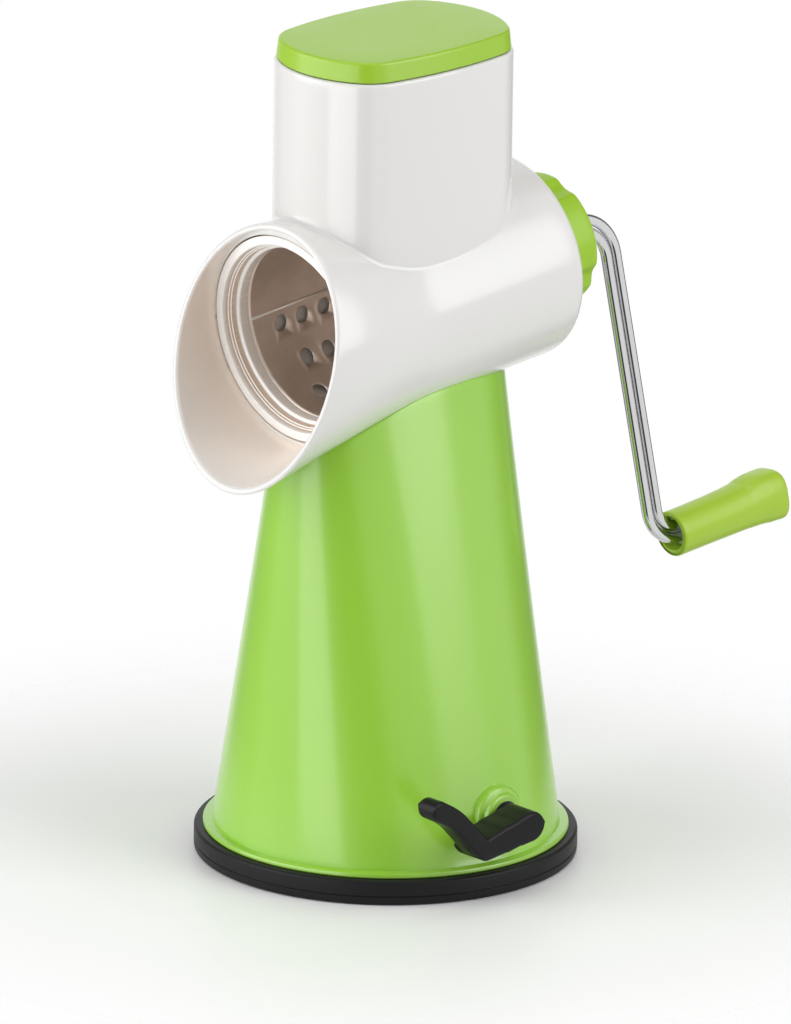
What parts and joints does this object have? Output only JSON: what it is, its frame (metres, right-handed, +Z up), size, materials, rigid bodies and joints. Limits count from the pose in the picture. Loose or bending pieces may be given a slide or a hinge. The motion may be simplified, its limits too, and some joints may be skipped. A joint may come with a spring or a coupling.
{
  "type": "rotary vegetable shredder",
  "caption": "Hand-cranked rotary vegetable shredder: a tapered stand with a suction foot, a tilted barrel with a feed chute and pusher, a perforated drum and a bent-wire crank.",
  "frame": {"origin": "middle of the foot, on the surface that it stands on", "axes": "+Z up; the crank is on the +Y side, the mouth on the -Y side and the suction lever on the +X side; the barrel's axis rises 6 degrees towards +Y"},
  "size_m": [0.1384, 0.2403, 0.2885],
  "materials": {
    "white_plastic": "glossy moulded",
    "green_plastic": "satin moulded",
    "grip_plastic": "glossy moulded",
    "hub_plastic": "glossy moulded",
    "cap_plastic": "satin moulded",
    "pusher_plastic": "satin moulded",
    "drum_plastic": "satin moulded",
    "black_rubber": "matt",
    "black_plastic": "fine texture",
    "grey_plastic": "bearing plastic",
    "bright_wire": "polished",
    "steel": "turned",
    "sleeve_steel": "rolled sheet"
  },
  "bodies": {
    "stand": {"stand_shell": "green_plastic", "suction_pad": "black_rubber", "pad_clamp_ring": "black_plastic", "clamp_ring_screws": "steel", "cam_bush": "black_plastic", "barrel_housing": "white_plastic", "housing_screws": "steel", "rear_bush": "grey_plastic"},
    "lever": {"cam_shaft": "steel", "lift_cam": "grey_plastic", "lever_arm": "black_plastic", "lever_screw": "steel"},
    "lift": {"lift_yoke": "grey_plastic", "lift_washer": "steel", "pad_diaphragm": "black_rubber", "lift_screw": "steel"},
    "crank": {"drive_shaft": "steel", "shaft_clip": "steel", "crank_hub": "hub_plastic", "hub_screws": "steel", "crank_wire": "bright_wire", "grip_core": "grey_plastic"},
    "grip_body": {"grip": "grip_plastic"},
    "drum": {"drum_sleeve": "sleeve_steel", "drum_front_ring": "drum_plastic", "drum_rear_hub": "drum_plastic"},
    "pusher": {"pusher_body": "pusher_plastic", "pusher_cap": "cap_plastic"}
  },
  "joints": [
    {"name": "crank_spin", "type": "hinge", "parent": "stand", "child": "crank", "pos_m": [0, 0, 0.1939], "axis": [0, 0.9945, 0.1045], "continuous": true},
    {"name": "grip_spin", "type": "hinge", "parent": "crank", "child": "grip_body", "pos_m": [0.01528, 0.14125, 0.09363], "axis": [0, 0.9945, 0.1045], "continuous": true},
    {"name": "drum_slide", "type": "slide", "parent": "crank", "child": "drum", "axis": [0, -0.9945, -0.1045], "range_m": [0, 0.14]},
    {"name": "pusher_slide", "type": "slide", "parent": "stand", "child": "pusher", "axis": [0, 0, 1], "range_m": [0, 0.06]},
    {"name": "lever_turn", "type": "hinge", "parent": "stand", "child": "lever", "pos_m": [0, 0, 0.025], "axis": [-1, 0, 0], "range_deg": [0, 150]},
    {"name": "pad_lift", "type": "slide", "parent": "stand", "child": "lift", "axis": [0, 0, -1], "range_m": [0, 0.0044]}
  ],
  "couplings": [
    {"joint": "pad_lift", "follows": "lever_turn", "m_per_rad": 0.00168}
  ]
}
